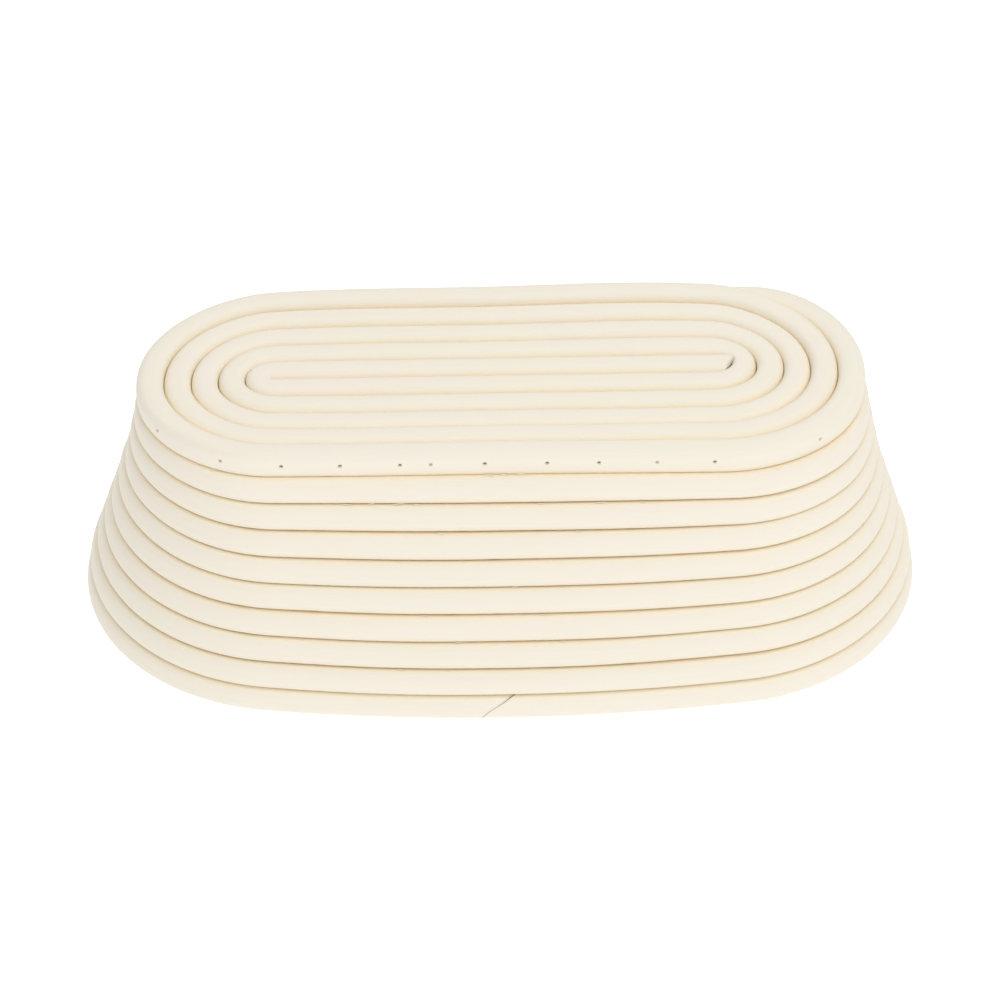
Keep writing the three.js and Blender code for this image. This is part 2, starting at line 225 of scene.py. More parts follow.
# %% Drift of the rows and width of the seams
random = np.random.default_rng(20)
drift_waves = 9
drift_size = 0.10 * mm
drift_phase = random.uniform(0, 2 * math.pi, (2, rim_row + 3, drift_waves))
drift_part = random.normal(0, drift_size, (2, rim_row + 3, drift_waves)) / np.sqrt(np.arange(1, drift_waves + 1))

seam_knots = 480  # per round, about one every millimetre and a half
seam_table = random.normal(0, 1, (rim_row + 3, seam_knots))
seam_blur = np.exp(-(np.arange(-4, 5) / 1.6) ** 2)
seam_table = np.apply_along_axis(
    lambda line: np.convolve(np.concatenate([line[-4:], line, line[:4]]), seam_blur, "valid"), 1, seam_table)
seam_table /= seam_table.std()
seam_closed = 0.03 * mm
seam_threshold = 0.8
seam_open = 0.12 * mm  # for each step above the threshold


def row_drift(row, place, direction):
    """Drift of a row outwards or upwards: a sum of waves round the oval. A row on its way to the next one takes
    its share of both."""
    low = np.clip(np.floor(row).astype(int), 0, rim_row)
    share = row - low
    waves = np.arange(1, drift_waves + 1) * (math.pi / 2)
    value = 0.0
    for table_row, part in ((low, 1 - share), (low + 1, share)):
        angle = place[..., None] * waves + drift_phase[direction][table_row]
        value = value + part * (drift_part[direction][table_row] * np.sin(angle)).sum(-1)
    return value * np.clip(row, 0, 1) * np.clip(rim_row - row, 0, 1)


def seam_gap(row, place):
    """Width of the seam under a row: a blurred random value looked up round the oval. Only its highest parts
    are open, by up to a quarter of a millimetre."""
    low = np.clip(np.floor(row).astype(int), 0, rim_row + 1)
    at = (place % 4) / 4 * seam_knots
    first = np.floor(at).astype(int)
    part = at - first
    value = 0.0
    for table_row, weight in ((low, 1 - (row - low)), (low + 1, row - low)):
        line = seam_table[table_row, first % seam_knots] * (1 - part)
        value = value + weight * (line + seam_table[table_row, (first + 1) % seam_knots] * part)
    return seam_closed + seam_open * np.clip(value - seam_threshold, 0, 2)


print("row 1 starts at", np.round(row_point(1, 0.0) / mm, 2))

# %% [markdown]
# Every cane is a tube: a rounded section carried along a route.
# Cane that is packed tight is a little squarer than a circle. The section also swells or shrinks towards each
# neighbour, just enough to meet it half way, because the rows lean and would leave open wedges. A curve with a
# bevel would give a plain tube with less code, but neither that swelling nor the slanting cuts, so the tube is
# worked out as one grid of points: along the cane, and round it. Beside the points each tube keeps how near a
# point is to a seam, for the finish.

# %% Tube along a route
section_power = 3.3  # 2 is a circle, and more is squarer
# The warm band beside a seam is painted light: light bounced between the canes, painted into the colour.
painted_glow_power = 10  # of the warm band beside a seam
broad_painted_glow = 0.2  # share of a broader band
# Sharpness of the narrow band on the seam line, where the finish paints shade.
painted_seam_shade_power = 110


def unit(vectors):
    return vectors / np.linalg.norm(vectors, axis=-1, keepdims=True)


def prepare_route(points, up_hint, neighbours):
    """Runs and frames of a route. The run is the summed length. Along is the slope, up is the hint made square
    to it, and out is along cross up. A neighbour is its points, the seam's width and how much it counts."""
    step = np.linalg.norm(np.diff(points, axis=0), axis=1)
    run = np.concatenate([[0.0], np.cumsum(step)])
    along = unit(np.gradient(points, run, axis=0))
    up = unit(up_hint - (up_hint * along).sum(1, keepdims=True) * along)
    out = np.cross(along, up)
    sides = []
    for there, gap, weight in neighbours:
        towards = there - points
        cosine = (towards * out).sum(1)
        sine = (towards * up).sum(1)
        distance = np.hypot(cosine, sine) + 1e-9
        sides.append((cosine / distance, sine / distance, (distance - gap) / 2, weight))
    return {"run": run, "points": points, "up": up, "out": out, "sides": sides}


def at_runs(route, values, runs):
    """Values of a route at any runs, by straight interpolation."""
    values = np.asarray(values)
    if values.ndim == 1:
        return np.interp(runs, route["run"], values)
    return np.stack([np.interp(runs, route["run"], values[:, axis]) for axis in range(3)], -1)


def tube_grid(route, stations, angles, shift=None, width=None, height=None):
    """Grid of points: the route's point, plus out times the radius times the cosine of the angle, plus up times
    the radius times its sine. The radius is the cane's, a little more between out and up, plus for each neighbour
    what is missing to meet it half way, times the fourth power of the cosine of the angle between. A shift moves
    a point along the cane."""
    runs = stations[:, None] + np.zeros_like(angles)[None, :]
    cosine, sine = np.cos(angles)[None, :], np.sin(angles)[None, :]
    if shift is not None:
        runs = runs + shift(stations[:, None], cane_radius * cosine, cane_radius * sine)
    square = (np.abs(cosine) ** section_power + np.abs(sine) ** section_power) ** (-1 / section_power)
    radius = cane_radius * square + np.zeros(runs.shape)
    painted_glow, painted_seam_shade = np.zeros((2, *runs.shape))
    for side_cosine, side_sine, reach, weight in route["sides"]:
        facing = cosine * at_runs(route, side_cosine, runs) + sine * at_runs(route, side_sine, runs)
        facing = np.clip(facing, 0, 1)
        counted = at_runs(route, weight, runs)
        radius = radius + (at_runs(route, reach, runs) - cane_radius) * facing ** 4
        # Warm band beside each seam, where the finish paints bounced light.
        painted_glow = np.maximum(painted_glow, counted * ((1 - broad_painted_glow) * facing ** painted_glow_power + broad_painted_glow * facing ** 2))
        # Narrow band on the seam line, where the finish paints shade.
        painted_seam_shade = np.maximum(painted_seam_shade, counted * facing ** painted_seam_shade_power)
    wide, high = (1.0 if size is None else at_runs(route, size, runs) for size in (width, height))
    points = at_runs(route, route["points"], runs)
    points = points + at_runs(route, route["out"], runs) * (radius * cosine * wide)[..., None]
    points = points + at_runs(route, route["up"], runs) * (radius * sine * high)[..., None]
    return {"points": points, "runs": runs, "angles": angles, "painted_glow": painted_glow, "painted_seam_shade": painted_seam_shade, "pit": 0 * painted_seam_shade}


# %% [markdown]
# A pin's hole is a small pit in the tube's surface, so the grid has to be fine there and may be coarse elsewhere.
# Stations are packed close together near each hole, and angles on the side where the holes are. A closed disc of
# two rings and a middle point ends each tube, the first ring a little smaller, so that a cut has a soft edge.

# %% Stations, pits and meshes
lip_height = 0.07 * mm
end_bulge = 0.12 * mm
end_sizes = (0.95, 0.5)  # of a cut end's two rings
end_edge_mark = 0.7  # end grain on the outer one


def stations_between(first, last, step, fine_at=(), fine_reach=1.8 * mm, fine_step=0.22 * mm):
    """Runs from first to last: even steps, and much finer ones round each run of the list."""
    runs = np.linspace(first, last, max(2, round((last - first) / step) + 1))
    for spot in fine_at:
        runs = runs[np.abs(runs - spot) > fine_reach]
        runs = np.concatenate([runs, np.arange(-fine_reach, fine_reach + fine_step / 2, fine_step) + spot])
    return np.unique(np.round(np.clip(runs, first, last), 7))


def even_angles(count):
    return 2 * math.pi * np.arange(count) / count


def focused_angles(count, middle, spread=math.radians(16), fine_count=13):
    """Angles round the section: a fine group about one angle and even steps over the rest."""
    fine = middle + np.linspace(-spread, spread, fine_count)
    rest = np.linspace(middle + spread, middle + 2 * math.pi - spread, count + 2)[1:-1]
    return np.concatenate([fine, rest])


def press_pits(grid, pits):
    """Presses a pit for each pin: points within its radius move inwards along the pin, by a depth that is full
    in the middle and fades at the edge. A low raised lip lies round it."""
    points = grid["points"]
    for at, inward, radius, depth in pits:
        offset = points - at
        ahead = (offset * inward).sum(-1)
        aside = np.linalg.norm(offset - ahead[..., None] * inward, axis=-1)
        near = (ahead < 0) & (aside < 4 * radius)
        pit = np.where(near, smooth((radius * 1.15 - aside) / (radius * 0.45)), 0.0)
        lip = np.where(near, np.exp(-((aside - 1.25 * radius) / (0.3 * radius)) ** 2), 0.0)
        points = points + inward * (pit * depth - lip * lip_height)[..., None]
        # How far a point lies inside a pit is kept, and the finish paints shade there.
        grid["pit"] = np.maximum(grid["pit"], pit)
    grid["points"] = points
    return grid


def ring_faces(rings, around):
    """Four-sided faces between neighbouring rings of points, which are numbered ring by ring."""
    first = np.arange(rings - 1)[:, None] * around
    here, there = first + np.arange(around), first + (np.arange(around) + 1) % around
    return np.stack([here, here + around, there + around, there], -1).reshape(-1, 4)


def tube_mesh(name, grid):
    """Mesh of a closed tube: four-sided faces between neighbouring points of the grid, and at each end two rings
    inside the last one and a fan to a middle point. The map holds the run in metres and the share round."""
    points = grid["points"]
    count, around = points.shape[:2]
    here = np.arange(around)
    there = (here + 1) % around
    sheets, marks, runs = [points.reshape(-1, 3)], [np.zeros(count * around)], [grid["runs"].ravel()]
    quads, fans = [ring_faces(count, around)], []
    for index, sign, start in ((0, -1, count * around), (count - 1, 1, (count + 2) * around + 1)):
        ring, ring_runs = points[index], grid["runs"][index]
        middle = ring.mean(0)
        beyond = unit(middle - points[index - sign].mean(0)) * end_bulge
        sheets += [middle + (ring - middle) * size + beyond for size in end_sizes] + [(middle + beyond)[None]]
        marks += [np.full(around, end_edge_mark), np.ones(around), np.ones(1)]
        runs += [ring_runs, ring_runs, [ring_runs.mean()]]
        for low, high in ((index * around, start), (start, start + around)):
            quads.append(np.stack([low + here, low + there, high + there, high + here], -1)[:, ::sign])
        fan = np.stack([start + around + here, start + around + there, np.full(around, start + 2 * around)], -1)
        fans.append(fan[:, ::sign])
    vertices, run_of, cut = np.concatenate(sheets), np.concatenate(runs), np.concatenate(marks)
    quads, fans = np.concatenate(quads), np.concatenate(fans)
    corners = np.concatenate([quads.ravel(), fans.ravel()])
    sizes = np.concatenate([np.full(len(quads), 4), np.full(len(fans), 3)])
    firsts = np.concatenate([[0], np.cumsum(sizes)[:-1]])
    mesh = plain_mesh(name, vertices, quads.tolist() + fans.tolist())

    shares = grid["angles"] / (2 * math.pi)
    across = np.concatenate([np.tile(shares, count)] + 2 * [shares, shares, [0.0]])[corners]
    across = across - np.round(across - across[np.repeat(firsts, sizes)])
    chart = mesh.uv_layers.new(name="cane_map")
    chart.data.foreach_set("uv", np.stack([run_of[corners], across], -1).astype(np.float32).ravel())
    ends = np.zeros(len(vertices) - count * around)
    layers = {layer: np.concatenate([grid[layer].ravel(), ends]) for layer in ("painted_glow", "painted_seam_shade", "pit")}
    for layer, values in {**layers, "cut": cut}.items():
        mesh.attributes.new(layer, "FLOAT", "POINT").data.foreach_set("value", values.astype(np.float32))
    mesh.validate()
    return mesh


def plain_mesh(name, points, faces):
    """Smooth mesh of an array of points and of lists of their numbers."""
    mesh = bpy.data.meshes.new(name)
    mesh.from_pydata(points.tolist(), [], faces)
    mesh.polygons.foreach_set("use_smooth", np.ones(len(mesh.polygons), bool))
    mesh.update()
    return mesh


def place_piece(mesh, slot, *nodes):
    """Puts a mesh into the scene as a piece that stands for some solids."""
    piece = add_object(mesh.name, mesh)
    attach(piece, "root")
    if nodes:
        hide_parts(*nodes)
    return piece


# %% [markdown]
# The pins are plain steel wire. The ones along the edge are driven in from outside, and each leaves a small
# hole, which the finish darkens inside with painted shade. Their places come from the photograph on the front, and are
# spread evenly where nothing shows. The wall's pins go up from each row into the row above, where the next row hides
# them, and the rim's show underneath.

# %% Where the pins are
pin_radius = 0.6 * mm
edge_rise = 0.9 * mm
pin_recess = 0.4 * mm
edge_bite = 5 * mm
row_bite = 3 * mm
edge_shares = {
    2: [0.06, 0.2, 0.34, 0.48, 0.62, 0.76, 0.9],
    3: [0.05, 0.22, 0.38, 0.54, 0.694, 0.881],
    0: [0.022, 0.152, 0.285, 0.353, 0.473, 0.611, 0.726, 0.855, 0.983],
    1: [0.215, 0.42]}
front_places = [0.22, 0.78]
back_places = [2.42, 2.86]
rim_places = [0.12, 0.42, 0.58, 0.88, 2.4, 2.84]


def edge_pin(quarter, share):
    """Where an edge pin crosses the middle of the outermost turn, and its inward direction."""
    heading = math.pi * ((quarter >= 2) + share * (quarter % 2))
    outward = np.array([math.sin(heading), -math.cos(heading), 0.0])
    radius = (base_turns - 0.5 * (quarter != 1)) * pitch + sway_at(quarter + share, sway_outer_radius)
    x = (spiral_left + straight_run * share, spiral_right, spiral_right - straight_run * share, spiral_left)[quarter]
    spot = np.array([x, pitch / 2 * (quarter == 1), base_height + edge_rise]) + radius * outward
    return spot, -outward, solid_radius - pin_recess, pitch - solid_radius + edge_bite


def rising_pin(row, place):
    """Where a pin crosses the middle of its row, and the direction to the row above."""
    at = row_point(row, place)
    towards = row_point(row - 1, place) - at
    length = np.linalg.norm(towards)
    below = rim_height if row == rim_row else solid_radius
    return at, towards / length, below - pin_recess, length - solid_radius + row_bite


edge_pins = [edge_pin(quarter, share) for quarter, shares in edge_shares.items() for share in shares]
pins = {f"edge_pin_{number + 1}": pin for number, pin in enumerate(edge_pins)}
for row in range(1, wall_rows + 1):
    pins[f"wall_pin_{row}_front"] = rising_pin(row, front_places[row % 2])
    pins[f"wall_pin_{row}_back"] = rising_pin(row, back_places[(row + 1) % 2])
for number, place in enumerate(rim_places):
    pins[f"rim_pin_{number + 1}"] = rising_pin(rim_row, place)
print("pins", len(pins))

# %% [markdown]
# The base is wound round two centres, so each turn has two straight runs and two half circles, all a little swayed.
# The right half circles have a radius half a pitch larger than the left ones, which carries the cane out by one
# pitch in each turn. On the straight runs the turns touch. Round the tips of the ends they spring a little apart,
# and the dark inside shows through. The last turn is the edge, and at the back right it rolls down into row 1.

# %% Route of the base's spiral
closed_gap = 0.04 * mm
tip_gap = 0.15 * mm
tip_shares = (0.47, 0.46)  # of the left and the right half circle
tip_reach = 7 * mm
tip_reach_more = 2.2 * mm  # for each turn further out


def split_quarters(quarters):
    """Whole turns, the quarter in the turn and the share of that quarter. What lies before the start belongs to
    the first quarter."""
    turn = np.maximum(np.floor(quarters / 4), 0)
    quarter = np.clip(np.floor(quarters - 4 * turn), 0, 3)
    return turn, quarter, quarters - 4 * turn - quarter


def spiral_point(quarters):
    """Point after a number of quarter turns, back run first: along the runs by share, round the ends by the
    sine and cosine of the heading. The height rises by the fifth power of the turns until the last is level."""
    quarters = np.asarray(quarters, float)
    turn, quarter, share = split_quarters(quarters)
    right = quarter == 3
    heading = math.pi * ((quarter < 2) + share * (quarter % 2))
    place = (quarter + 2) % 4 + share
    from_middle = turn + np.where(right, 1 - 0.5 * np.cos(heading), 0.5)
    radius = (turn + np.where(right, 1.0, 0.5)) * pitch + sway_at(place, from_middle * pitch)
    along = straight_run * share * (1 - quarter % 2) * (quarter - 1)
    x = np.where(quarter % 3 == 0, spiral_right, spiral_left) + along + radius * np.sin(heading)
    y = pitch / 2 * right - radius * np.cos(heading)
    inner = np.clip(quarters / 4 / (base_turns - 1), 0, 1)
    return np.stack([x, y, base_height - base_dish * (1 - inner ** 5)], -1)


def end_gap(quarters, beside):
    """Width of a seam of the base: a bell curve about the tip of each end, over the length of the arc from it.
    Beside is half a pitch outwards or inwards, the seam's own radius."""
    turn, quarter, share = split_quarters(quarters)
    radius = np.where(quarter == 1, turn + 0.5, turn + 1.0) * pitch + beside
    from_tip = (share - np.where(quarter == 1, *tip_shares)) * math.pi * radius
    reach = tip_reach + tip_reach_more * radius / pitch
    return closed_gap + tip_gap * np.exp(-(from_tip / reach) ** 2) * (quarter % 2 == 1)


def edge_point(quarters):
    """Point of the spiral, and how far it has dropped to row 1. Where the last turn drops, it rolls round the
    turn inside it: its direction from that turn goes from beside to below, and so does its distance."""
    quarters = np.asarray(quarters, float)
    point, inside = spiral_point(quarters), spiral_point(quarters - 4)
    place = quarters - last_quarter + 6
    dropped = smooth((place - edge_drop_start - 4) / (round_start - edge_drop_start))
    share = (dropped * (1 - edge_lag * (1 - dropped)))[..., None]
    beside, below = point - inside, row_point(1.0, place) - inside
    beside_far = np.linalg.norm(beside, axis=-1, keepdims=True) + 1e-9
    below_far = np.linalg.norm(below, axis=-1, keepdims=True)
    towards = unit(beside / beside_far * (1 - share) + below / below_far * share + 1e-12)
    rolled = inside + towards * (beside_far * (1 - share) + below_far * share)
    return np.where(share > 0, rolled, point), share[..., 0]


first_arc_dent = 2.6 * mm  # the first right end is bent so sharply that its inner side is pressed flat
dent_heading = math.radians(100)
dent_spread = math.radians(50)


def dent_at(heading):
    """Depth of that dent: a bell curve about one heading."""
    return first_arc_dent * np.exp(-((heading - dent_heading) / dent_spread) ** 2)


start_ahead = 9 * mm
start_samples = 30
spiral_samples = 4061
splice_samples = 60
left_bend_reach = 4.45 * mm  # from its middle to its inner side
bend_seam = 0.4  # how far the inner sides of the first bends count as seams
last_quarter = 4 * base_turns
edge_end = last_quarter - 2 + round_start
splice_place = 2.62
quarters = np.concatenate([
    np.linspace(-start_ahead / straight_run, 0, start_samples)[:-1], np.linspace(0, edge_end, spiral_samples)])
quarter, share = split_quarters(quarters)[1:]
base_points, rolled_share = edge_point(quarters)
is_edge = quarters >= edge_end - 4
edge_place = quarters - last_quarter + 6
row_below = 1 + np.where(quarters > last_quarter - 2, smooth((edge_place - drop_start - 4) / drop_length), 0.0)
wall_up = unit(row_point(0.0, edge_place) - row_point(2.0, edge_place))
base_up = np.array([0.0, 0.0, 1.0]) * (1 - rolled_share[:, None]) + wall_up * rolled_share[:, None]

inside = spiral_point(quarters - 4)
first_turn = quarters < 4
mirrored = base_points * np.array([1.0, -1.0, 1.0])
centre = np.where((quarter == 1)[:, None], np.array([spiral_left, 0.0, 0.0]),
                  np.array([spiral_right, pitch / 2, 0.0]))
to_centre = unit((centre - base_points) * np.array([1.0, 1.0, 0.0]))
first_reach = np.where(quarter == 1, left_bend_reach, cane_radius - dent_at(math.pi * share))
hairpin = base_points + to_centre * (2 * first_reach)[:, None]
on_run = quarter % 2 == 0
inside = np.where(first_turn[:, None], np.where(on_run[:, None], mirrored, hairpin), inside)
outside = np.where(is_edge[:, None], wall_point(row_below, edge_place), edge_point(quarters + 4)[0])
inside_gap = np.where(first_turn, np.where(on_run, closed_gap, 0.0), end_gap(quarters, -pitch / 2))
outside_gap = np.where(is_edge, seam_gap(row_below - 1, edge_place), end_gap(quarters, pitch / 2))
counts_inside = np.where(first_turn & ~on_run, bend_seam, 1.0)

wall_part = np.linspace(round_start, splice_place, splice_samples)[1:]
wall_above, wall_below = edge_point(wall_part + last_quarter - 6)[0], row_point(2.0, wall_part)
full = np.ones(len(wall_part))
base_line, base_up, *sides = (np.concatenate(parts) for parts in (
    (base_points, row_point(1.0, wall_part)), (base_up, unit(wall_above - wall_below)),
    (inside, wall_above), (inside_gap, seam_gap(0 * full, wall_part)), (counts_inside, full),
    (outside, wall_below), (outside_gap, seam_gap(full, wall_part)), (np.ones(len(quarters)), full)))
base_route = prepare_route(base_line, base_up, [sides[:3], sides[3:]])
print("base cane", round(base_route["run"][-1], 3), "m long")

# %% [markdown]
# The spiral starts with a cut end in the middle of the base. The cane was cut at a slant, and the first turn was
# bent round it, which leaves a small dark notch. The tube's first stations are sheared to the slant of the cut.
# Points that would lie in the first turn are drawn back to the inner side of that turn.

# %% The base's cane
start_cut = np.array([spiral_right + 6.8 * mm, pitch / 2 + 0.2 * mm])
start_slope = 0.62  # how far the cut moves to the right for each step to the back
start_fade = 14 * mm
start_length = 24 * mm  # which has to keep inside the first turn
start_clearance = 0.15 * mm
first_centre = np.array([spiral_right, pitch / 2])


def start_shift(station, outwards, upwards):
    """Shift along the cane near its start: the cut's slope times the distance to the back, fading along the cane."""
    return -start_slope * outwards * (1 - smooth((station - start_run) / start_fade))


def keep_inside_turn(points):
    """Draws points near the start back inside the first right end: their distance from its centre is at most
    the radius of its inner side less a clearance."""
    offset = points[..., :2] - first_centre
    radius = np.linalg.norm(offset, axis=-1)
    heading = np.arctan2(offset[..., 0], -offset[..., 1])
    limit = cane_radius + dent_at(heading) - start_clearance
    scale = np.where(offset[..., 0] > 0, np.minimum(1.0, limit / radius), 1.0)
    points[..., :2] = first_centre + offset * scale[..., None]
    return points


start_run = base_points[0, 0] - (start_cut[0] + start_slope * (pitch / 2 - start_cut[1]))
edge_first = np.searchsorted(quarters, last_quarter - 4)
edge_runs = [
    base_route["run"][edge_first + np.linalg.norm(base_points[edge_first:] - pin[0], axis=1).argmin()]
    for pin in edge_pins]
base_step = 1.7 * mm
hole_radius = 0.62 * mm
hole_depths = [
    1.2, 0.6, 1.4, 0.7, 1.2, 0.5, 1.3, 0.9, 0.6, 1.3, 0.7, 0.5,
    0.4, 1.5, 1.4, 0.9, 0.5, 1.5, 1.7, 1.0, 0.4, 0.9, 0.4, 0.8]
pits = [(pin[0], pin[1], hole_radius, depth * mm) for pin, depth in zip(edge_pins, hole_depths)]
base_stations = stations_between(start_run, base_route["run"][-1], base_step, edge_runs)
base_angles = focused_angles(34, math.asin(edge_rise / cane_radius))
base_grid = tube_grid(base_route, base_stations, base_angles, start_shift)
beginning = base_stations < start_run + start_length
base_grid["points"][beginning] = keep_inside_turn(base_grid["points"][beginning])
base_piece = place_piece(tube_mesh("base_cane_round", press_pits(base_grid, pits)), "cane", "base_cane")
print("base cane", len(base_piece.data.polygons), "faces")

# %% [markdown]
# The wall is one long coil in two lengths of cane. Each row runs level nearly all the way round and drops to the
# next row at the back right, all rows at the same place, so that the seams stay parallel. The lengths butt
# against each other at the back. The last row thins out under the one that drops on to it.

# %% The wall's canes
def row_at(places):
    """Row of the coil at a place: one more for each round, and a share more where it drops to the next."""
    return np.floor((places - round_start) / 4) + 1 + drop_share(places)


def wall_route(places, rows, above, below):
    """Route of a length of the wall: the points of its rows between those above and below, and both seams."""
    full = np.ones(len(places))
    return prepare_route(wall_point(rows, places), unit(above - below), [
        (above, seam_gap(rows - 1, places), full), (below, seam_gap(rows, places), full)])


second_splice = 2.7 + 4 * 4
splice_cut = 0.35 * mm
place_step = 0.004
wall_step = 1.35 * mm
wall_angles = even_angles(36)

upper_places = np.arange(splice_place, second_splice, place_step)
upper_rows = row_at(upper_places)
under_edge = (upper_places < round_start + 4)[:, None]
edge_above = edge_point(np.minimum(upper_places, round_start + 4) + last_quarter - 6)[0]
upper_above = np.where(under_edge, edge_above, wall_point(upper_rows - 1, upper_places))
upper_route = wall_route(upper_places, upper_rows, upper_above, wall_point(upper_rows + 1, upper_places))
upper_stations = stations_between(splice_cut, upper_route["run"][-1], wall_step)
upper_grid = tube_grid(upper_route, upper_stations, wall_angles)
upper_piece = place_piece(tube_mesh("upper_wall_cane_round", upper_grid), "cane", "upper_wall_cane")

tail_start = drop_start + 4 * wall_rows
tail_reach = 0.98  # share of the last drop
tail_least = 0.03  # share of the height that is left
tail_narrow = 0.6  # share of the width that goes
tail_kept = 0.985
lower_places = np.arange(second_splice, tail_start + tail_reach * drop_length, place_step)
tail_gone = np.where(lower_places > tail_start, drop_share(lower_places), 0.0)
lower_rows = np.minimum(row_at(lower_places), wall_rows + tail_gone / 2)
lower_points = wall_point(lower_rows, lower_places)
lower_above, lower_below = wall_point(lower_rows - 1, lower_places), wall_point(lower_rows + 1, lower_places)
lower_below = np.where((lower_rows >= wall_rows)[:, None], row_point(rim_row, lower_places), lower_below)
in_tail = (tail_gone > 0)[:, None]
tail_apart = unit(lower_below - lower_points) * pitch
lower_above = np.where(in_tail, lower_points - tail_apart, lower_above)
lower_below = np.where(in_tail, lower_points + tail_apart, lower_below)
lower_route = wall_route(lower_places, lower_rows, lower_above, lower_below)
tail_high = np.maximum(1 - tail_gone, tail_least)
tail_wide = 1 - tail_narrow * smooth((tail_gone - 0.8) / 0.2)
lower_end = lower_route["run"][tail_gone < tail_kept][-1]
lower_stations = stations_between(splice_cut, lower_end, wall_step)
lower_grid = tube_grid(lower_route, lower_stations, wall_angles, width=tail_wide, height=tail_high)
lower_piece = place_piece(tube_mesh("lower_wall_cane_round", lower_grid), "cane", "lower_wall_cane")
for piece in (upper_piece, lower_piece):
    print(piece.name, len(piece.data.polygons), "faces")

# %% [markdown]
# The rim is a ring of the same cane, closed by a long slanting cut at the middle of the front.
# The two cut faces meet below and gape a little at the top. Underneath, the rim is planed flat, so the tube's
# lowest points are lifted to the table.

# %% The rim's cane
scarf_slope = 1.32  # run of the cut along the cane for each step up
scarf_lean = 0.59  # outwards, beside its slope upwards
scarf_place = 0.494
scarf_fade = 26 * mm
slit_below = 0.03 * mm
slit_gape = 0.22 * mm
rim_under_reach = 4.15 * mm
rim_step = 1.2 * mm
rim_hole_depth = 1 * mm


def scarf_shift(station, outwards, upwards):
    """Shift along the cane near both cut ends: the slope times the height less a share of the way outwards, and
    half the width of the slit, which gapes towards the top."""
    start_near = 1 - smooth((station - rim_first) / scarf_fade)
    end_near = 1 - smooth((rim_last - station) / scarf_fade)
    high = np.clip((upwards / cane_radius + 1) / 2, 0, 1)
    slit = slit_below + slit_gape * high ** 3
    slant = scarf_slope * (upwards - scarf_lean * outwards)
    return slant * (start_near + end_near) + slit * (start_near - end_near)


rim_places_fine = np.arange(0.38, 4.62, place_step)
rim_points = row_point(rim_row, rim_places_fine)
rim_above = row_point(wall_rows, rim_places_fine)
rim_up = unit(rim_above - rim_points)
rim_under = rim_points - rim_up * 2 * rim_under_reach
full = np.ones(len(rim_places_fine))
rim_route = prepare_route(rim_points, rim_up, [
    (rim_above, seam_gap(wall_rows * full, rim_places_fine), full), (rim_under, 0 * full, 0 * full)])
rim_first = np.interp(scarf_place, rim_places_fine, rim_route["run"])
rim_last = np.interp(4 + scarf_place, rim_places_fine, rim_route["run"])
rim_runs = [np.interp(place if place > 0.5 else place + 4, rim_places_fine, rim_route["run"]) for place in rim_places]
rim_stations = stations_between(rim_first, rim_last, rim_step, rim_runs)
rim_angles = focused_angles(36, -math.pi / 2)
rim_grid = tube_grid(rim_route, rim_stations, rim_angles, scarf_shift)
rim_grid["points"][..., 2] = np.maximum(rim_grid["points"][..., 2], 0.0)
rim_pits = [(pin[0], pin[1], hole_radius, rim_hole_depth) for name, pin in pins.items() if name.startswith("rim")]
rim_grid = press_pits(rim_grid, rim_pits)
rim_grid["points"][..., 2] = np.maximum(rim_grid["points"][..., 2], 0.0)
rim_piece = place_piece(tube_mesh("rim_cane_round", rim_grid), "cane", "rim_cane")
print("rim", len(rim_piece.data.polygons), "faces, lowest point", rim_grid["points"][..., 2].min())

# %% [markdown]
# A pin is a length of wire with a blunt point and a slightly domed head: a profile turned round its axis.
# All pins share one function and differ only in place and length.

# %% Pins
def pin_mesh(name, at, inward, head, depth, around=14):
    """Surface of revolution: the profile's distance along the pin and its radius, turned round the pin's axis."""
    profile = np.array([
        [-head - 0.05 * mm, 0.0], [-head - 0.03 * mm, 0.6 * pin_radius], [-head + 0.08 * mm, pin_radius],
        [-head + 0.6 * mm, pin_radius], [depth - 1.6 * mm, pin_radius], [depth - 0.2 * mm, 0.3 * pin_radius],
        [depth, 0.0]])
    angles = even_angles(around)
    first = unit(np.cross(inward, np.array([0.3, 0.2, 0.93])))
    second = np.cross(inward, first)
    ring = np.cos(angles)[:, None] * first + np.sin(angles)[:, None] * second
    points = at + profile[:, None, :1] * inward + profile[:, None, 1:] * ring[None]
    middle = points[1:-1].reshape(-1, 3)
    vertices = np.concatenate([middle, points[0, :1], points[-1, :1]])
    here = np.arange(around)
    there = (here + 1) % around
    quads = ring_faces(len(profile) - 2, around)[:, [0, 3, 2, 1]]
    last = len(middle) - around
    head_fan = np.stack([there, here, np.full(around, len(middle))], -1)
    tip_fan = np.stack([last + here, last + there, np.full(around, len(middle) + 1)], -1)
    return plain_mesh(name, vertices, quads.tolist() + head_fan.tolist() + tip_fan.tolist())


pin_pieces = [place_piece(pin_mesh(f"{name}_wire", *pin), "pin_steel", name) for name, pin in pins.items()]
print("pins", len(pin_pieces))

# %% [markdown]
# Here and there a fibre has split off the cane and lies in a seam. Such splinters are thin tapered tubes that
# follow the seam for a few millimetres and lift off at one end. They are all one piece, because each is tiny.

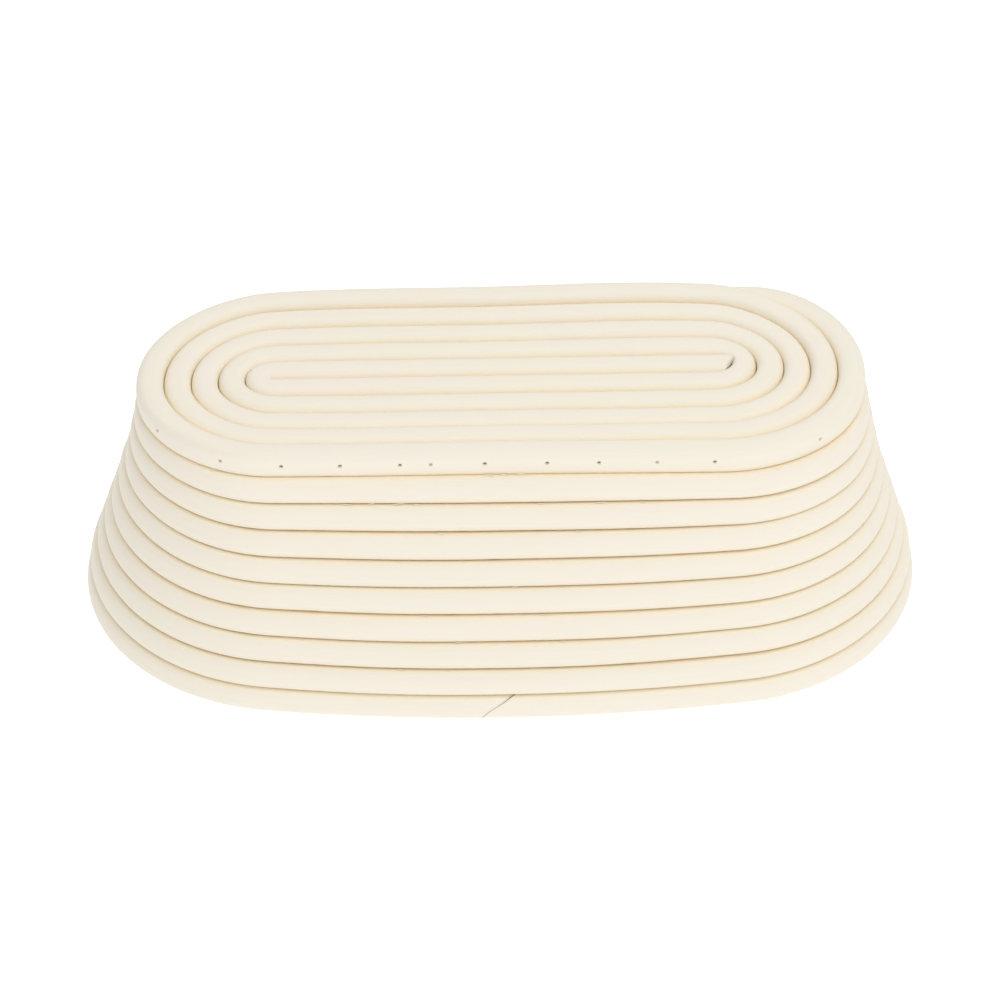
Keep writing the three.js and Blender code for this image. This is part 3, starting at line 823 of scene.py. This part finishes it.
# %% Splinters in the seams
splinters = [
    (0, 0.47, 3.2), (0, 0.50, 2.0), (0, 0.535, 2.6), (0, 3.86, 3.0), (0, 1.10, 2.6), (1, 0.16, 3.5), (1, 0.21, 2.4),
    (1, 0.27, 4.2), (1, 0.31, 2.2), (1, 0.58, 3.0), (1, 0.71, 3.4), (1, 0.80, 2.2), (2, 0.36, 2.4), (2, 0.66, 2.0),
    (4, 0.09, 3.4), (4, 0.52, 2.2), (5, 0.58, 2.6), (5, 0.33, 1.8), (6, 0.40, 3.0), (6, 0.62, 2.0), (7, 0.28, 2.4),
    (2, 2.3, 3.0), (3, 2.7, 2.4), (5, 2.5, 3.2), (3, 3.4, 2.6), (6, 3.6, 2.2), (4, 1.3, 2.8), (7, 2.15, 2.4)]
splinter_seam, splinter_place, splinter_length = (np.array(column) for column in zip(*splinters))
splinter_lift = random.uniform(-0.2, 0.9, len(splinters)) * mm
splinter_rise = random.uniform(-0.5, 0.5, len(splinters)) * mm
splinter_rings = 9
splinter_sides = 6
splinter_depth = 3.1 * mm
splinter_radius = 0.13 * mm
splinter_height = 1.5
quarter_length = 155  # in millimetres, like the lengths in the list
along_share = np.linspace(0, 1, splinter_rings)
splinter_places = splinter_place[:, None] + (along_share - 0.5)[None, :] * (splinter_length / quarter_length)[:, None]
upper_side, lower_side = (wall_point(splinter_seam[:, None] + step, splinter_places) for step in (0, 1))
seam_line = (upper_side + lower_side) / 2
splinter_along = unit(np.gradient(seam_line, axis=1))
splinter_up = unit(upper_side - lower_side)
splinter_out = np.cross(splinter_along, splinter_up)
depth_out = splinter_depth + splinter_lift[:, None] * along_share ** 2
splinter_line = seam_line + splinter_out * depth_out[..., None]
splinter_line = splinter_line + splinter_up * (splinter_rise[:, None] * along_share ** 1.5)[..., None]
splinter_angles = even_angles(splinter_sides)
splinter_thick = splinter_radius * np.sin(math.pi * (0.06 + 0.9 * along_share)) ** 0.7
splinter_ring = (np.cos(splinter_angles)[:, None] * splinter_out[:, :, None, :]
                 + splinter_height * np.sin(splinter_angles)[:, None] * splinter_up[:, :, None, :])
splinter_points = splinter_line[:, :, None, :] + splinter_ring * splinter_thick[None, :, None, None]
one = np.arange(splinter_rings * splinter_sides)
starts = np.arange(len(splinters))[:, None] * len(one)
splinter_faces = (ring_faces(splinter_rings, splinter_sides) + starts[:, None]).reshape(-1, 4).tolist()
splinter_faces += (one[:splinter_sides] + starts).tolist()
splinter_faces += (one[:-splinter_sides - 1:-1] + starts).tolist()
splinter_piece = place_piece(plain_mesh("seam_splinters", splinter_points.reshape(-1, 3), splinter_faces), "cane")
print("splinters", len(splinters))

# %% [markdown]
# Finishes are written as arithmetic. A small class wraps a socket, and plus, minus and times on it add the Math
# nodes, so that a formula reads like one. Any other node comes from its one method for nodes.

# %% Arithmetic for finishes
class Wire:
    """A socket of a finish. Arithmetic on it adds Math nodes, and node adds any other node."""

    def __init__(self, tree, socket=None):
        self.tree = tree
        self.socket = socket

    def node(self, kind, settings=None, inputs=None, output=0):
        """Adds a node: settings first, then values or links of its sockets."""
        made = self.tree.nodes.new(kind)
        for key, value in (settings or {}).items():
            setattr(made, key, value)
        for key, value in (inputs or {}).items():
            if isinstance(value, Wire):
                self.tree.links.new(value.socket, made.inputs[key])
            else:
                made.inputs[key].default_value = value
        return Wire(self.tree, made.outputs[output])

    def math(self, operation, first, second=0.0, clamp=False):
        return self.node("ShaderNodeMath", {"operation": operation, "use_clamp": clamp}, {0: first, 1: second})

    def __add__(self, other):
        return self.math("ADD", self, other)

    def __sub__(self, other):
        return self.math("SUBTRACT", self, other)

    def __rsub__(self, other):
        return self.math("SUBTRACT", other, self)

    def __mul__(self, other):
        return self.math("MULTIPLY", self, other)

    __radd__ = __add__
    __rmul__ = __mul__

    def limited(self):
        return self.math("ADD", self, 0.0, True)

    def mix(self, first, second):
        """Colour from first to second by this value."""
        return self.node("ShaderNodeMix", {"data_type": "RGBA"}, {0: self, 6: first, 7: second}, 2)


def new_finish(name):
    """A material with only a shader and an output, and a wire to start formulas from."""
    material = bpy.data.materials.new(name)
    material.use_nodes = True
    tree = material.node_tree
    shader = tree.nodes["Principled BSDF"]
    return material, Wire(tree), shader


def feed(start, shader, **links):
    """Links wires to the shader's sockets, whose names have low lines for spaces here."""
    for name, wire in links.items():
        start.tree.links.new(wire.socket, shader.inputs[name.replace("_", " ")])


# %% [markdown]
# Peeled rattan is pale and cream, with fine fibres along the cane and slow changes of tone from one stretch to the
# next. Beside each seam a warm amber band of painted light stands for light bounced between the canes, and the seam
# line itself and each pin hole are darkened with painted shade. The fibres are noise that is stretched along the
# tube's own map. The share round the tube is bent into a circle first, so that no line shows where it closes.

# %% Cane finish
cream = (0.885, 0.835, 0.73, 1.0)
straw = (0.865, 0.79, 0.635, 1.0)
blush = (0.89, 0.82, 0.715, 1.0)
# Painted light: the warm amber glow beside the seams, standing in for light bounced between the canes.
painted_glow_amber = (0.97, 0.77, 0.41, 1.0)
# Umber: painted shade on the seam lines and in the pin holes, and the dark pores of the cut ends.
umber = (0.34, 0.18, 0.07, 1.0)
end_grain = (0.70, 0.55, 0.34, 1.0)


def cane_finish():
    material, start, shader = new_finish("peeled_cane")
    chart = start.node("ShaderNodeUVMap", {"uv_map": "cane_map"})
    run, share = (start.node("ShaderNodeSeparateXYZ", None, {0: chart}, axis) for axis in (0, 1))
    turn_angle = share * (2 * math.pi)
    round_x, round_y = (start.math(operation, turn_angle) for operation in ("COSINE", "SINE"))

    def stretched(run_scale, round_scale, detail):
        """Noise with its own scale along the cane, per metre, and round it."""
        spot = start.node("ShaderNodeCombineXYZ", None, {
            0: run * run_scale, 1: round_x * round_scale, 2: round_y * round_scale})
        return start.node("ShaderNodeTexNoise", None, {
            "Vector": spot, "Scale": 1.0, "Detail": detail, "Roughness": 0.6})

    fibres = stretched(70.0, 11.0, 3.0)
    streaks = stretched(16.0, 4.0, 2.0)
    tone = stretched(9.0, 0.5, 1.0)
    dashes = stretched(75.0, 0.4, 1.0)
    painted_glow, painted_seam_shade, cut, pit = (
        start.node("ShaderNodeAttribute", {"attribute_name": name}, None, 2) for name in ("painted_glow", "painted_seam_shade", "cut", "pit"))

    colour = ((fibres - 0.5) * 1.1 + 0.22).limited().mix(cream, straw)
    for part, tint in (
            # Painted light: a warm amber glow beside each seam, for light bounced between the canes.
            ((tone - 0.38) * 1.6, blush), ((streaks - 0.58) * 1.5, straw), (painted_glow * 0.8, painted_glow_amber),
            # Painted shade: a dark umber line on each seam, broken into dashes by noise.
            # Painted shade: umber inside each pin hole, by how far a point lies in the pit.
            (painted_seam_shade * ((dashes - 0.48) * 4.0).limited(), umber), (pit * 0.55, umber)):
        colour = part.limited().mix(colour, tint)
    pores = start.node("ShaderNodeTexVoronoi", None, {
        "Vector": start.node("ShaderNodeTexCoord", None, None, 3), "Scale": 2600.0})
    grain = ((0.45 - pores) * 1.6).limited()
    colour = cut.mix(colour, grain.mix(end_grain, umber))
    relief = fibres * 0.6 + streaks * 0.4
    bump = start.node("ShaderNodeBump", None, {"Height": relief, "Strength": 0.35, "Distance": 0.00012})
    feed(start, shader, Base_Color=colour, Roughness=0.50 + 0.16 * fibres + 0.2 * painted_glow, Normal=bump)
    shader.inputs["Specular IOR Level"].default_value = 0.32
    return material


cane_material = cane_finish()
for piece in (base_piece, upper_piece, lower_piece, rim_piece, splinter_piece):
    piece.data.materials.append(cane_material)
print("cane finish has", len(cane_material.node_tree.nodes), "nodes")

# %% [markdown]
# The pins are drawn steel wire, dulled by handling. Fine noise varies the roughness, and a faint brown film of
# rust lies on them here and there.

# %% Pin finish
def pin_finish():
    material, start, shader = new_finish("drawn_wire")
    spot = start.node("ShaderNodeTexCoord", None, None, 3)
    film = start.node("ShaderNodeTexNoise", None, {"Vector": spot, "Scale": 900.0, "Detail": 3.0})
    colour = ((film - 0.45) * 2.5).limited().mix((0.34, 0.31, 0.27, 1.0), (0.20, 0.13, 0.08, 1.0))
    feed(start, shader, Base_Color=colour, Roughness=0.35 + 0.3 * film)
    shader.inputs["Metallic"].default_value = 0.9
    return material


pin_material = pin_finish()
for piece in pin_pieces:
    piece.data.materials.append(pin_material)
print("pin finish on", len(pin_pieces), "pins")

# %% [markdown]
# The basket stands on a plain white table in soft light from all round. A pale sky gives most of it. A broad lamp
# from the front right models the rows, so that the left end lies a little in shade, as in the photograph. A weaker
# one stands behind.

# %% Table and light
table_half = 3.0
table_corners = np.array([[-1, -1, 0], [1, -1, 0], [1, 1, 0], [-1, 1, 0]]) * table_half
table = add_object("table", plain_mesh("table", table_corners, [[0, 1, 2, 3]]))
table_material, _, table_shader = new_finish("white_table")
for socket, value in {
        "Base Color": (0.4, 0.4, 0.4, 1.0), "Roughness": 0.9, "Specular IOR Level": 0.1,
        "Emission Color": (1.0, 1.0, 1.0, 1.0), "Emission Strength": 0.85}.items():
    table_shader.inputs[socket].default_value = value
table.data.materials.append(table_material)

world = bpy.data.worlds.new("soft_sky")
bpy.context.scene.world = world
world.use_nodes = True
sky = world.node_tree.nodes["Background"].inputs
sky["Color"].default_value = (1.0, 1.0, 1.0, 1.0)
sky["Strength"].default_value = 0.53
lamp_aim = np.array([0.0, 0.0, 0.05])


def add_lamp(name, place, power, size):
    """A square lamp at a place, turned to face the basket."""
    lamp = bpy.data.lights.new(name, "AREA")
    lamp.energy, lamp.size = power, size
    holder = add_object(name, lamp)
    holder.location = place
    direction = lamp_aim - np.array(place)
    flat = math.hypot(direction[0], direction[1])
    holder.rotation_euler = (math.atan2(flat, -direction[2]), 0.0, math.atan2(-direction[0], direction[1]))


add_lamp("broad_lamp", (0.3, -0.92, 1.72), 17.5, 1.6)
add_lamp("back_lamp", (0.3, 1.2, 1.5), 7.0, 1.4)
bpy.context.scene.view_settings.view_transform = "Standard"
